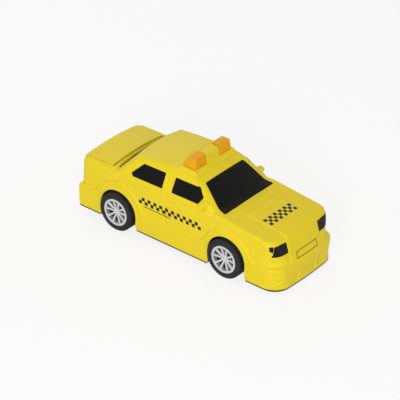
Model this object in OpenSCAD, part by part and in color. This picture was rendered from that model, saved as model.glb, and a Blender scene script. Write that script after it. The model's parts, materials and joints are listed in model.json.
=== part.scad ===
// Toy saloon taxi with a friction drive on its rear axle and a boot lid that opens.
// Millimetres. +X is the front of the car, +Y its left side, +Z is up, and the tyres stand on z = 0.

/* [Body] */
// length over the bumpers
body_l = 232.5; // [220:0.5:245]
// width over the sills
body_w = 85; // [82:0.5:88]
// step from the sill skirt in to the door panels
skirt_step = 0.8; // [0.4:0.1:1.2]
// height of the waistline under the side windows
belt_z = 58; // [57:0.25:60]
// height of the roof without its light bar
roof_z = 81.4; // [80:0.2:84]
// height of the shell's lower edge below the middle of the car
sill_z = 6.35; // [5:0.05:8]
// nose-down slope of the lower edge, in degrees
rake = 1.1; // [0:0.1:1.6]
// wall thickness of the mouldings
wall = 1.8; // [1.4:0.1:2.2]

/* [Boot lid] */
// width of the boot lid
lid_w = 69.4; // [64:0.2:70]
// gap round the boot lid
lid_gap = 0.4; // [0.3:0.05:0.6]
// lower edge of the lid's turned-down lip above the ground
lid_lip_z = 46; // [43:0.5:50]
// radius of the hinge pins
hinge_r = 1.25; // [1:0.05:1.5]
// depth of the boot tray
tray_depth = 17; // [12:0.5:20]

/* [Light bar] */
// length of one orange cap across the car
lens_l = 16.4; // [14:0.2:18]
// height of the orange caps
lens_h = 10.2; // [8:0.2:12]
// length of the caps along the car, at the foot
lens_d = 15.2; // [12:0.2:17]

/* [Wheels] */
// distance between the axles
wheelbase = 125; // [118:0.5:130]
// distance from the front bumper to the front axle
front_overhang = 58.75; // [56:0.25:62]
// radius of the tyres
tyre_r = 19; // [18:0.1:20]
// width of the tyres
tyre_w = 15; // [12:0.2:15.4]
// width over the tyres
track_w = 93; // [90:0.5:96]
// radius of the rims
rim_r = 13.2; // [12:0.1:14]
// width of the gap between tyre and wheel arch
arch_gap = 1.8; // [1.2:0.1:2.6]
// radius of the axles
axle_r = 1.5; // [1.25:0.05:1.75]
// radial play of everything that turns in a hole
run_fit = 0.06; // [0.03:0.01:0.1]

/* [Friction drive] */
// gear module
gear_m = 0.6; // [0.56:0.01:0.62]
// teeth of the axle gear and of the large idler wheel
gear_z = 32; // [28:1:32]
// teeth of the two pinions
pinion_z = 12; // [11:1:13]
// extra distance between gear centres
gear_play = 0.12; // [0.08:0.01:0.2]
// radius of the flywheel
flywheel_r = 11; // [9:0.1:11.2]
// width of the flywheel
flywheel_w = 6; // [4:0.1:7]

/* [Screws] */
// radius of the screw threads
screw_r = 1.25; // [1:0.05:1.4]
// radius of the screw heads
head_r = 2.4; // [2:0.1:2.6]

/* [Hidden] */
$fn = 64;

half_l = body_l / 2;
half_w = body_w / 2;
panel_w = half_w - skirt_step;
// place beyond the bumpers, for cutting shapes
end_x = half_l + 14;
// bow of the nose in plan, and the corner radii of the plan
nose_r = 400;
front_corner_r = 16;
rear_corner_r = 8;
bumper_corner_r = 3.5;
// tops of the skirt: front bumper, ledge along the sides and rear bumper
bumper_z = 26;
ledge_z = 25.4;
rear_bumper_z = 30;
// number plate and tail lamps
plate_w = 30.4;
plate_h = 7.4;
plate_z = bumper_z + 1;
tail_w = 10.5;
tail_h = 10;
tail_out = panel_w - rear_corner_r - 0.5;
tail_z = lid_lip_z - 2.4;
// lid front edge, bulkhead in front of it, and hinge axis
lid_x = -half_l + 37.25;
bulk_x = lid_x + 3.5;
hinge_x = lid_x - 6;
deck_z = belt_z + 1.4;
deck_crown = 2.4;
hinge_z = belt_z - 2.5;
lid_open_w = lid_w / 2 + lid_gap;
// axles
fa_x = half_l - front_overhang;
ra_x = fa_x - wheelbase;
axle_z = tyre_r;
tyre_out = track_w / 2;
tyre_in = tyre_out - tyre_w;
well_y = tyre_in - 1.3;
lug_in = well_y - 4.2;
lug_out = well_y - 1.2;
arch_r = tyre_r + arch_gap;
well_l = arch_r + 1;
// windscreen and rear screen lines
screen_x = 50.5;
screen_z = belt_z - 2;
screen_a = 52.96;
back_x = bulk_x;
back_z = belt_z + 1.6;
back_a = 133.5;
// light bar
bar_z = roof_z + 0.9;
bar_x = 2;
lens_y = 9.1;
// friction drive
gear_r = gear_m * gear_z / 2;
pinion_r = gear_m * pinion_z / 2;
gear_c = gear_r + pinion_r + gear_play;
idler_a = 35;
fly_a = -10;
idler_x = ra_x + gear_c * cos(idler_a);
idler_z = axle_z + gear_c * sin(idler_a);
fly_x = idler_x + gear_c * cos(fly_a);
fly_z = idler_z + gear_c * sin(fly_a);
pin_r = 1;
case_t = 1.6;
case_y0 = -7.5;
case_y1 = 4.7 + flywheel_w;
// clearance round the gears and the flywheel, and the case outline that gives it
case_gap = 0.8;
case_r = gear_r + gear_m + case_gap + case_t;
case_x0 = ra_x - case_r;
case_x1 = fly_x + flywheel_r + case_gap + case_t;
case_z1 = idler_z + case_r;
case_z0 = lower_z(ra_x) + 0.2;
// screws
body_screw_at = [[half_l - 24, 26], [half_l - 24, -26], [-half_l + 6.6, half_w - 6.4],
    [-half_l + 6.6, -half_w + 6.4]];
tray_x = -half_l + 16.5;
tray_screw_at = [[tray_x, 18], [tray_x, -18]];
motor_screw_at = [[case_x0 - 4.2, 1.2], [case_x1 + 4.2, 1.2]];
boss_h = 6;
seat_h = 3;
head_h = 1.6;
case_screw_at = [[case_x0 + 2.6, case_z0 + 3], [case_x1 - 2.6, case_z1 - 4], [case_x1 - 2.6, case_z0 + 3]];
case_head_h = 1.2;

function lower_z(x) = sill_z - 1.2 - x * tan(rake);
function unit(v) = v / norm(v);
function turn(a, b) = let(d = b - a) d > 180 ? d - 360 : d < -180 ? d + 360 : d;
// corner points of a polygon with each corner rounded by r
function rounded(p, r, n = 4) = let(k = len(p)) [for (i = [0:k - 1])
    let(c = p[i], u = unit(p[(i + k - 1) % k] - c), v = unit(p[(i + 1) % k] - c),
        h = acos(u * v) / 2, m = c + unit(u + v) * r / sin(h),
        s = c + u * r / tan(h) - m, e = c + v * r / tan(h) - m,
        a0 = atan2(s[1], s[0]), da = turn(a0, atan2(e[1], e[0])))
    for (j = [0:n]) m + r * [cos(a0 + da * j / n), sin(a0 + da * j / n)]];
function involute(a) = tan(a) * 180 / PI - a;
function tooth_half(r, m, z) = let(b = m * z / 2 * cos(20))
    90 / z + involute(20) - (r > b ? involute(acos(b / r)) : 0) - 0.07 / (m * z / 2) * 180 / PI;
function tooth(m, z, root, tip) = let(b = max(root + 0.05, m * z / 2 * cos(20)),
    rs = concat([root], [for (i = [0:3]) b + (tip - b) * i / 3]))
    concat([for (i = [0:4]) [rs[i], -tooth_half(rs[i], m, z)]],
        [for (i = [4:-1:0]) [rs[i], tooth_half(rs[i], m, z)]]);

// tools that place flat shapes
module along_x(x0, x1) {
    translate([x0, 0, 0]) rotate([90, 0, 90]) linear_extrude(x1 - x0) children();
}

module along_y(y0, y1) {
    translate([0, y1, 0]) rotate([90, 0, 0]) linear_extrude(y1 - y0) children();
}

module both_sides() {
    children();
    mirror([0, 1, 0]) children();
}

module half_plane(x, z, a, d) {
    translate([x, z]) rotate(a) translate([-400 - d, -200]) square([400, 400]);
}

module range_x(x0, x1, z0 = 0) {
    translate([x0, -80, z0]) cube([x1 - x0, 160, 130 - z0]);
}

// plan outline with a bowed front and rounded corners, in short flats
function arc(x, y, r, a0, a1, n) = [for (i = [0:n]) let(a = a0 + (a1 - a0) * i / n) [x + r * cos(a), y + r * sin(a)]];
function flip(p) = [for (i = [len(p) - 1:-1:0]) [p[i][0], -p[i][1]]];
module plan(front, rear, w, bow, rf, rr) {
    c = front - bow;
    xf = c + sqrt(pow(bow - rf, 2) - pow(w - rf, 2));
    a = atan2(w - rf, xf - c);
    left = concat(arc(c, 0, bow, a / 6, a * 5 / 6, 2), arc(xf, w - rf, rf, a, 90, 5),
        arc(rear + rr, w - rr, rr, 90, 180, 4));
    polygon(concat(left, flip(left)));
}

module skirt_plan(d) {
    plan(half_l - d, -half_l + d, half_w - d, nose_r - d, front_corner_r - d, bumper_corner_r - d);
}

module panel_plan(d) {
    e = d + 1.25;
    plan(half_l - e, -half_l + e, panel_w - d, nose_r - d, front_corner_r - d, rear_corner_r - d);
}

// cross-section with rounded shoulders and a crowned top
module shoulder(w, top, r, crown) {
    right = concat([[w, -60]], arc(w - r, top - r, r, 0, 90, 4), [[(w - r) * 0.4, top + crown]]);
    polygon(concat(right, [for (i = [len(right) - 1:-1:0]) [-right[i][0], right[i][1]]]));
}

module bonnet_block(d) {
    intersection() {
        translate([half_l - 1, 0, bumper_z]) rotate([0, -8, 0])
            translate([1 - half_l, 0, -60]) linear_extrude(140) panel_plan(d);
        translate([48, 0, belt_z]) rotate([0, 6.9, 0]) along_x(-30, half_l)
            shoulder(panel_w - d - 0.04, -d - 0.5, 5, 0.9);
        range_x(47, end_x, 22);
    }
}

module deck_block(d) {
    intersection() {
        translate([1 - half_l, 0, rear_bumper_z]) rotate([0, 4, 0])
            translate([half_l - 1, 0, -60]) linear_extrude(140) panel_plan(d);
        along_x(-end_x, bulk_x + 10) shoulder(panel_w - d - 0.02, deck_z - d, 5, deck_crown);
        range_x(-end_x, bulk_x - 0.5, 22);
    }
}

module middle_block(d) {
    intersection() {
        along_x(bulk_x - 10, 60) shoulder(panel_w - d - 0.06, belt_z - d, 4, 0.6);
        range_x(bulk_x - 1, 48, 22);
    }
}

// flat side panels in one piece, between the bumpers and below the shoulders
module side_block(d) {
    along_y(d - panel_w - 0.02, panel_w - d + 0.02)
        polygon([[-half_l + 18, 1], [half_l - 28, 1], [half_l - 28, belt_z - 11.4], [20, belt_z - 8],
            [-half_l + 18, belt_z - 8]]);
}

module lower_form(d) {
    side_block(d);
    linear_extrude(bumper_z) panel_plan(d);
    bonnet_block(d);
    middle_block(d);
    deck_block(d);
}

module cabin_side(d) {
    intersection() {
        half_plane(-10, roof_z, 90, d);
        half_plane(8, roof_z - 0.3, 85, d);
        half_plane(-30, roof_z - 0.3, 93.5, d);
        half_plane(screen_x, screen_z, screen_a, d);
        half_plane(13, roof_z - 1, 68.2, d);
        half_plane(-53.6, roof_z - 2, 113, d);
        half_plane(back_x, back_z, back_a, d);
        half_plane(bulk_x, 0, 180, d);
        translate([-200, belt_z - 10]) square([400, 100]);
    }
}

module cabin_half(d) {
    intersection() {
        half_plane(0, roof_z, 90, d);
        half_plane(13, roof_z - 0.3, 84, d);
        half_plane(panel_w - 13.2, roof_z - 2, 73, d);
        half_plane(panel_w - 10, roof_z - 3.6, 50, d);
        half_plane(panel_w - 0.9, belt_z - 1, 22.7, d);
        translate([-200, 0]) square([200 + panel_w - d - 0.7, 200]);
    }
}

module cabin_front(d) {
    intersection() {
        cabin_half(d);
        mirror([1, 0]) cabin_half(d);
    }
}

// half-space behind a screen that is turned by s times its bow
module screen_side(x, z, a, d, s) {
    translate([x, 0, z]) rotate([0, -a, 0]) translate([0, s * 16, 0]) rotate([0, 0, s * 7.5])
        translate([-400 - d, -200, -200]) cube([400, 400, 400]);
}

module cabin_form(d) {
    intersection() {
        along_y(-60, 60) cabin_side(d);
        along_x(-120, 100) cabin_front(d);
        screen_side(screen_x, screen_z, screen_a, d, 1);
        screen_side(screen_x, screen_z, screen_a, d, -1);
        screen_side(back_x, back_z, back_a, d, 1);
        screen_side(back_x, back_z, back_a, d, -1);
    }
}

// raised lower skirt: sills, bumpers and arch flares
module skirt() {
    intersection() {
        linear_extrude(60) skirt_plan(0);
        along_y(-60, 60) {
            translate([-half_l, 0]) square([body_l, bumper_z]);
            translate([-half_l, 0]) square([body_l - 24, ledge_z]);
            translate([-half_l, 0]) square([24, rear_bumper_z]);
            translate([ra_x, axle_z]) circle(arch_r + 8.7);
            translate([fa_x, axle_z]) circle(arch_r + 6.5);
        }
    }
}

// window outlines, each grown by g
module screen_shape(g) {
    polygon(rounded([[-34.4 - g, 1.8 - g], [34.4 + g, 1.8 - g], [26.2 + g, 34.2 + g], [-26.2 - g, 34.2 + g]], 4));
}

module back_shape(g) {
    polygon(rounded([[-33 - g, -2 + g], [33 + g, -2 + g], [27 + g, -23 - g], [-27 - g, -23 - g]], 4));
}

module front_pane(g) {
    t = roof_z - 8.1 + g;
    b = belt_z + 1.7 - g;
    polygon(rounded([[-5.6 - g, t], [21 + g * 0.6, t], [29.3 + g, t - 6.6], [24.4 + g * 0.8, b],
        [-5.4 - g, b]], 1.6));
}

module rear_pane(g) {
    t = roof_z - 7.8 + g;
    b = belt_z + 1.7 - g;
    polygon(rounded([[-17.2 + g, t], [-42.6 - g * 0.5, t], [-54 - g, b + 2.6], [-52 - g * 0.6, b],
        [-18 + g, b]], 1.3));
}

module window_prisms(g) {
    translate([screen_x, 0, screen_z]) rotate([0, -screen_a, 0]) translate([-9, 0, 0]) along_x(0, 16) screen_shape(g);
    translate([back_x, 0, back_z]) rotate([0, -back_a, 0]) translate([-9, 0, 0]) along_x(0, 16) back_shape(g);
    both_sides() along_y(22, 60) {
        front_pane(g);
        rear_pane(g);
    }
}

module headlamp_prism(g) {
    t = belt_z - 10;
    w = panel_w + g;
    y0 = panel_w - 19.4 - g;
    along_x(half_l - 36, end_x) polygon(rounded([[y0, t - 2.8 + g], [y0, t - 11.8 - g], [w - 3.2, t - 10.8 - g],
        [w - 1, t - 4.4], [w - 1.8, t - 1.7 + g]], 0.8));
}

module tail_prism(g) {
    y0 = tail_out - tail_w - g;
    y1 = tail_out + g;
    z0 = tail_z - tail_h - g;
    z1 = tail_z + g;
    along_x(-end_x, -half_l + 12) polygon(rounded([[y0, z1], [y0, z0], [y1, z0], [y1, z1]], 0.8));
}

module lid_region(g) {
    translate([-end_x, -lid_w / 2 - g, lid_lip_z - g]) cube([end_x + lid_x + g, lid_w + 2 * g, 60]);
}

module wheel_arches() {
    both_sides() for (x = [fa_x, ra_x]) {
        translate([x, well_y, axle_z]) rotate([-90, 0, 0]) cylinder(r = arch_r, h = 40);
        translate([x - arch_r, well_y, -20]) cube([2 * arch_r, 40, 20 + axle_z]);
    }
}

// everything above the slanted lower edge moved by d
module above_edge(d) {
    translate([0, 0, sill_z + d]) rotate([0, rake, 0]) translate([-200, -100, 0]) cube([400, 200, 150]);
}

module lens_block(y0, y1, z0, h, slope) {
    intersection() {
        along_y(y0, y1) polygon([[bar_x - lens_d / 2, z0], [bar_x + lens_d / 2, z0],
            [bar_x + lens_d / 2 - 1.2, z0 + h], [bar_x - lens_d / 2 + 5.2, z0 + h]]);
        along_x(-40, 60) polygon([[y0, z0], [y1, z0], [y1 - slope, z0 + h], [y0 + slope, z0 + h]]);
    }
}

module body_shell() color("gold") {
    difference() {
        union() {
            intersection() {
                difference() {
                    union() {
                        lower_form(0);
                        cabin_form(0);
                        skirt();
                    }
                    lower_form(wall);
                    cabin_form(wall);
                    deck_opening();
                }
                above_edge(0);
            }
            translate([bulk_x - 0.2, -lid_open_w - 1, lid_lip_z])
                cube([wall, 2 * lid_open_w + 2, belt_z - lid_lip_z + 1.2]);
            shell_posts();
            hinge_lugs();
            difference() {
                union() {
                    light_bar_base();
                    mirrors();
                }
                cabin_form(wall);
            }
            door_handles();
        }
        wheel_arches();
        window_prisms(0);
        post_holes();
        hinge_bores();
        for (s = [-1, 1]) translate([bar_x, s * (lens_y + lens_l / 2), roof_z - 10]) cylinder(r = 1.6, h = 20);
        both_sides() intersection() {
            headlamp_prism(0);
            difference() {
                range_x(half_l - 26, end_x);
                bonnet_block(1);
            }
        }
        both_sides() intersection() {
            tail_prism(0);
            difference() {
                range_x(-end_x, -half_l + 26);
                deck_block(1);
            }
        }
    }
}

module deck_opening() {
    lid_region(lid_gap);
    translate([lid_x - 1, -lid_open_w, lid_lip_z]) cube([bulk_x - lid_x + 0.8, 2 * lid_open_w, 40]);
}

module shell_posts() {
    intersection() {
        union() {
            for (p = body_screw_at) translate([p[0], p[1], lower_z(p[0]) + boss_h])
                cylinder(r = 3.8, h = p[0] > 0 ? 60 : 28);
        }
        union() {
            bonnet_block(0.6);
            deck_block(0.6);
        }
    }
}

module post_holes() {
    for (p = body_screw_at) translate([p[0], p[1], lower_z(p[0]) + boss_h - 1]) cylinder(r = screw_r, h = 10);
}

module hinge_lugs() {
    intersection() {
        both_sides() translate([hinge_x - 4, lid_open_w, hinge_z - 4]) cube([8, 3.2, 10]);
        deck_block(0.6);
    }
}

module hinge_bores() {
    both_sides() translate([hinge_x, lid_open_w - 1, hinge_z]) rotate([-90, 0, 0])
        cylinder(r = hinge_r + run_fit, h = 4.6);
}

module light_bar_base() {
    translate([bar_x - lens_d / 2 - 2, -28, roof_z - 4]) cube([lens_d + 4, 56, bar_z - roof_z + 4]);
    lens_block(-lens_y + 0.2, lens_y - 0.2, bar_z - 0.5, lens_h - 0.6, 0.3);
}

module mirrors() {
    both_sides() along_y(panel_w - 4, half_w + 3.4)
        polygon(rounded([[25, belt_z + 1], [30.6, belt_z + 1], [29.6, belt_z + 6], [25.6, belt_z + 6]], 1.4));
}

module door_handles() {
    both_sides() for (x = [-56.2, -8.4]) translate([x, panel_w - 1, belt_z - 5.8]) cube([10.4, 1.7, 2.2]);
}

module window_insert() color("black") {
    difference() {
        union() {
            intersection() {
                cabin_form(wall + 0.12);
                translate([-200, -60, belt_z - 1.5]) cube([400, 120, 60]);
            }
            intersection() {
                cabin_form(-0.4);
                window_prisms(-0.12);
            }
        }
        cabin_form(wall + 1.5);
        translate([-200, -60, belt_z - 12]) cube([400, 120, 10.5]);
        for (s = [-1, 1]) translate([bar_x, s * (lens_y + lens_l / 2), roof_z - 12]) cylinder(r = 4, h = 20);
    }
}

module light_lens(s) color("orange") {
    y0 = s > 0 ? lens_y : -lens_y - lens_l;
    difference() {
        lens_block(y0, y0 + lens_l, bar_z, lens_h, 1.4);
        translate([0, 0, -0.01]) intersection() {
            lens_block(y0 + 1.2, y0 + lens_l - 1.2, bar_z, lens_h - 1.2, 1.4);
            range_x(bar_x - lens_d / 2 + 1.2, bar_x + lens_d / 2 - 1.2);
        }
    }
    translate([bar_x, y0 + lens_l / 2, roof_z - 4.5]) cylinder(r = 1.5, h = bar_z - roof_z + lens_h + 4);
}

module light_lens_left() light_lens(1);

module light_lens_right() light_lens(-1);

module headlamp_left() color("black") intersection() {
    headlamp_prism(-0.1);
    difference() {
        bonnet_block(-0.3);
        bonnet_block(1);
    }
    range_x(half_l - 26, end_x);
}

module headlamp_right() mirror([0, 1, 0]) headlamp_left();

module tail_lamp_left() color("black") intersection() {
    tail_prism(-0.1);
    difference() {
        deck_block(-0.3);
        deck_block(1);
    }
    range_x(-end_x, -half_l + 26);
}

module tail_lamp_right() mirror([0, 1, 0]) tail_lamp_left();

module number_plate() color("white") intersection() {
    along_x(half_l - 26, end_x) translate([-plate_w / 2, plate_z])
        polygon(rounded([[0, 0], [plate_w, 0], [plate_w, plate_h], [0, plate_h]], 1));
    difference() {
        bonnet_block(-0.5);
        bonnet_block(0);
    }
}

module boot_lid() color("gold") {
    intersection() {
        difference() {
            deck_block(0);
            deck_block(wall);
        }
        lid_region(0);
    }
    intersection() {
        both_sides() {
            translate([hinge_x, lid_w / 2 - 4.4, hinge_z]) rotate([-90, 0, 0]) cylinder(r = 3, h = 2.6);
            translate([hinge_x - 3, lid_w / 2 - 4.4, hinge_z]) cube([6, 2.6, 10]);
            translate([hinge_x, lid_w / 2 - 3, hinge_z]) rotate([-90, 0, 0])
                cylinder(r = hinge_r, h = 3 + lid_gap + 3);
        }
        deck_block(0.5);
    }
    translate([-half_l + 22.5, 0, deck_z + deck_crown - 0.6]) intersection() {
        along_y(-2.5, 2.5) polygon([[-4, 0], [4, 0], [4, 0.9], [-4, 1.6]]);
        linear_extrude(5) polygon([[-4, -2.4], [4, 0], [-4, 2.4]]);
    }
}

tray_x0 = -half_l + 6;
tray_x1 = hinge_x - 3.6;
tray_y = min(29.5, well_y - 0.7);
tray_top = hinge_z - 2.5;
tray_floor = tray_top - tray_depth;

module boot_tray() color("dimgray") {
    difference() {
        union() {
            translate([tray_x0, -tray_y, tray_floor]) cube([tray_x1 - tray_x0, 2 * tray_y, tray_depth]);
            for (p = tray_screw_at) translate([p[0], p[1], lower_z(p[0]) + boss_h])
                cylinder(r = 3.8, h = tray_floor - lower_z(p[0]) - boss_h + 0.5);
        }
        translate([tray_x0 + 1.5, -tray_y + 1.5, tray_floor + 1.5])
            cube([tray_x1 - tray_x0 - 3, 2 * tray_y - 3, tray_depth]);
        for (p = tray_screw_at) translate([p[0], p[1], lower_z(p[0]) + boss_h - 1]) cylinder(r = screw_r, h = 10);
    }
}

// chassis
module slab(d0, d1) {
    translate([0, 0, sill_z]) rotate([0, rake, 0]) translate([-200, -100, d0]) cube([400, 200, d1 - d0]);
}

module boss(p) {
    intersection() {
        translate([p[0], p[1], lower_z(p[0]) + 0.6]) cylinder(r = 4.4, h = boss_h - 0.6);
        linear_extrude(40) panel_plan(wall + 0.15);
    }
}

module boss_hole(p) {
    translate([p[0], p[1], lower_z(p[0]) - 3]) cylinder(r = head_r + 0.3, h = 3 + seat_h);
    translate([p[0], p[1], lower_z(p[0])]) cylinder(r = screw_r + 0.2, h = 20);
}

module bearing_lugs(x) {
    both_sides() along_y(lug_in, lug_out) {
        translate([x - 5, lower_z(x) + 1]) square([10, axle_z - lower_z(x) - 1]);
        translate([x, axle_z]) circle(5);
    }
}

module chassis() color("dimgray") {
    difference() {
        union() {
            intersection() {
                linear_extrude(40) skirt_plan(0.3);
                slab(-1.2, 0);
            }
            intersection() {
                linear_extrude(40) panel_plan(wall + 0.15);
                slab(-0.6, 1.3);
            }
            intersection() {
                linear_extrude(40) difference() {
                    panel_plan(wall + 0.15);
                    panel_plan(wall + 1.5);
                }
                slab(0, 3.6);
            }
            for (p = body_screw_at) boss(p);
            for (p = tray_screw_at) boss(p);
            for (p = motor_screw_at) boss(p);
            bearing_lugs(fa_x);
            bearing_lugs(ra_x);
        }
        both_sides() for (x = [fa_x, ra_x]) translate([x - well_l, well_y, -20]) cube([2 * well_l, 40, 60]);
        for (x = [fa_x, ra_x]) translate([x, -50, axle_z]) rotate([-90, 0, 0])
            cylinder(r = axle_r + run_fit, h = 100);
        for (p = concat(body_screw_at, tray_screw_at, motor_screw_at)) boss_hole(p);
        translate([case_x0 - 0.3, case_y0 - case_t - 0.3, -20])
            cube([case_x1 - case_x0 + 0.6, case_y1 - case_y0 + 2 * case_t + case_head_h + 0.6, 60]);
    }
}

module screw(p, l) {
    translate([p[0], p[1], lower_z(p[0]) + seat_h - head_h]) difference() {
        cylinder(r = head_r, h = head_h);
        translate([-1.7, -0.4, -1]) cube([3.4, 0.8, 1.8]);
        translate([-0.4, -1.7, -1]) cube([0.8, 3.4, 1.8]);
    }
    translate([p[0], p[1], lower_z(p[0]) + seat_h - 0.2]) cylinder(r = screw_r, h = l + 0.2);
}

module body_screws() color("silver") {
    for (p = body_screw_at) screw(p, boss_h - seat_h + 8);
}

module tray_screws() color("silver") {
    for (p = tray_screw_at) screw(p, boss_h - seat_h + 8);
}

module motor_screws() color("silver") {
    for (p = motor_screw_at) screw(p, boss_h - seat_h + 4);
}

// wheels
module axle(x) color("silver") {
    translate([x, -tyre_out + 2.5, axle_z]) rotate([-90, 0, 0]) cylinder(r = axle_r, h = 2 * tyre_out - 5);
}

module front_axle() axle(fa_x);

module rear_axle() axle(ra_x);

module spoke() {
    polygon([[2.4, 0.3], [2.6, 2.1], [6, 2.3], [9, 3], [rim_r - 1, 4.4], [rim_r - 0.6, 2.7], [9, 1.6], [6, 0.8]]);
}

module rim(x, s) color("silver") translate([x, 0, axle_z]) mirror([0, s > 0 ? 0 : 1, 0]) {
    difference() {
        union() {
            along_y(tyre_in + 1, tyre_out - 0.4) difference() {
                circle(rim_r);
                circle(rim_r - 1.3);
            }
            along_y(well_y - 0.9, tyre_out - 1) circle(3);
            along_y(tyre_out - 4, tyre_out - 1.4) for (k = [0:4]) rotate(72 * k + 90) {
                spoke();
                mirror([0, 1]) spoke();
            }
            along_y(tyre_in + 1, tyre_in + 2.2) circle(rim_r - 0.6);
        }
        translate([0, -50, 0]) rotate([-90, 0, 0]) cylinder(r = axle_r, h = 50 + tyre_out - 2.5);
    }
}

module tyre(x, s) color("black") translate([x, 0, axle_z]) mirror([0, s > 0 ? 0 : 1, 0]) {
    w = tyre_w / 2;
    translate([0, tyre_in + w, 0]) rotate([90, 0, 0]) rotate_extrude() difference() {
        polygon([[rim_r, -w + 0.6], [rim_r + 1, -w], [tyre_r - 1.4, -w + 0.3], [tyre_r, -w + 1.8],
            [tyre_r, w - 1.8], [tyre_r - 1.4, w - 0.3], [rim_r + 1, w], [rim_r, w - 0.6]]);
        for (y = [-0.45, 0, 0.45]) translate([tyre_r - 0.7, y * w - 0.4]) square([2, 0.8]);
    }
}

module rim_front_left() rim(fa_x, 1);

module rim_front_right() rim(fa_x, -1);

module rim_rear_left() rim(ra_x, 1);

module rim_rear_right() rim(ra_x, -1);

module tyre_front_left() tyre(fa_x, 1);

module tyre_front_right() tyre(fa_x, -1);

module tyre_rear_left() tyre(ra_x, 1);

module tyre_rear_right() tyre(ra_x, -1);

// friction drive
module gear_shape(z, add) {
    r = gear_m * z / 2;
    t = tooth(gear_m, z, r - 1.25 * gear_m, r + add * gear_m);
    polygon([for (i = [0:z - 1]) for (q = t) q[0] * [cos(q[1] + i * 360 / z), sin(q[1] + i * 360 / z)]]);
}

module axle_gear() color("white") translate([ra_x, 0, axle_z]) {
    along_y(-6, -2) difference() {
        rotate(idler_a) gear_shape(gear_z, 0.75);
        circle(axle_r);
    }
    along_y(-7.2, -5.9) difference() {
        circle(4);
        circle(axle_r);
    }
}

module idler_gear() color("white") translate([idler_x, 0, idler_z]) {
    along_y(-6.6, -0.9) difference() {
        rotate(idler_a + 180 + 180 / pinion_z) gear_shape(pinion_z, 1);
        circle(pin_r + run_fit);
    }
    along_y(-1, 2) difference() {
        rotate(fly_a) gear_shape(gear_z, 0.75);
        circle(pin_r + run_fit);
    }
    along_y(1.9, case_y1 - 0.3) difference() {
        circle(1.7);
        circle(pin_r + run_fit);
    }
}

module idler_pin() color("silver") translate([idler_x, 0, idler_z])
    along_y(case_y0 - case_t + 0.4, case_y1 + case_t - 0.4) circle(pin_r);

module flywheel() color("silver") translate([fly_x, 0, fly_z]) {
    along_y(3.6, 3.6 + flywheel_w) circle(flywheel_r);
    along_y(case_y0 - case_t + 0.4, case_y1 + case_t - 0.4) circle(pin_r);
    along_y(3.6 + flywheel_w - 0.1, case_y1 - 0.3) circle(2);
}

module flywheel_pinion() color("khaki") translate([fly_x, 0, fly_z]) {
    along_y(-1.4, 3.6) difference() {
        rotate(fly_a + 180 + 180 / pinion_z) gear_shape(pinion_z, 1);
        circle(pin_r);
    }
    along_y(case_y0 + 0.3, -1.3) difference() {
        circle(2.4);
        circle(pin_r);
    }
}

module case_outline(d) {
    intersection() {
        translate([case_x0 - d, case_z0 - d]) square([case_x1 - case_x0 + 2 * d, case_z1 - case_z0 + 2 * d]);
        half_plane(ra_x + case_r * cos(130), axle_z + case_r * sin(130), 130, -d);
    }
}

module case_foot(p, x0, x1) {
    difference() {
        translate([x0, p[1] - 5, lower_z(p[0]) + boss_h]) cube([x1 - x0, 10, 6]);
        translate([p[0], p[1], lower_z(p[0]) + boss_h - 1]) cylinder(r = screw_r, h = 5);
    }
}

module case_bores() {
    for (p = [[ra_x, axle_z, axle_r + run_fit], [fly_x, fly_z, pin_r + run_fit]])
        translate([p[0], -30, p[1]]) rotate([-90, 0, 0]) cylinder(r = p[2], h = 60);
    translate([idler_x, -30, idler_z]) rotate([-90, 0, 0]) cylinder(r = pin_r, h = 60);
}

module motor_case() color("slategray") {
    difference() {
        union() {
            along_y(case_y0 - case_t, case_y1) case_outline(0);
            case_foot(motor_screw_at[0], motor_screw_at[0][0] - 4, case_x0 + 0.5);
            case_foot(motor_screw_at[1], case_x1 - 0.5, motor_screw_at[1][0] + 4);
        }
        difference() {
            along_y(case_y0, case_y1 + 1) case_outline(-case_t);
            for (p = case_screw_at) translate([p[0], 0, p[1]]) along_y(case_y0, case_y1) circle(2.6);
        }
        for (p = case_screw_at) translate([p[0], 0, p[1]]) along_y(case_y1 - 8, case_y1 + 1) circle(screw_r);
        case_bores();
    }
}

module motor_cover() color("slategray") {
    difference() {
        along_y(case_y1, case_y1 + case_t) case_outline(0);
        for (p = case_screw_at) translate([p[0], 0, p[1]]) along_y(case_y1 - 1, case_y1 + 5) circle(screw_r + 0.2);
        case_bores();
    }
}

module case_screws() color("silver") {
    for (p = case_screw_at) translate([p[0], 0, p[1]]) {
        along_y(case_y1 + case_t, case_y1 + case_t + case_head_h) circle(2.2);
        along_y(case_y1 - 6, case_y1 + case_t + 0.1) circle(screw_r);
    }
}

body_shell();
window_insert();
light_lens_left();
light_lens_right();
headlamp_left();
headlamp_right();
tail_lamp_left();
tail_lamp_right();
number_plate();
boot_lid();
boot_tray();
chassis();
body_screws();
tray_screws();
front_axle();
rear_axle();
rim_front_left();
rim_front_right();
rim_rear_left();
rim_rear_right();
tyre_front_left();
tyre_front_right();
tyre_rear_left();
tyre_rear_right();
axle_gear();
idler_gear();
idler_pin();
flywheel();
flywheel_pinion();
motor_case();
motor_cover();
case_screws();
motor_screws();
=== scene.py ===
"""Looks of a push-and-go toy taxi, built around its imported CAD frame.

Body, windows, lid, lamps and wheels are moulded as distance fields in millimetres, meshed on a fine grid
and settled on the field's zero surface. The hidden works keep their CAD solids with better materials.
"""
import json
import math

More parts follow.
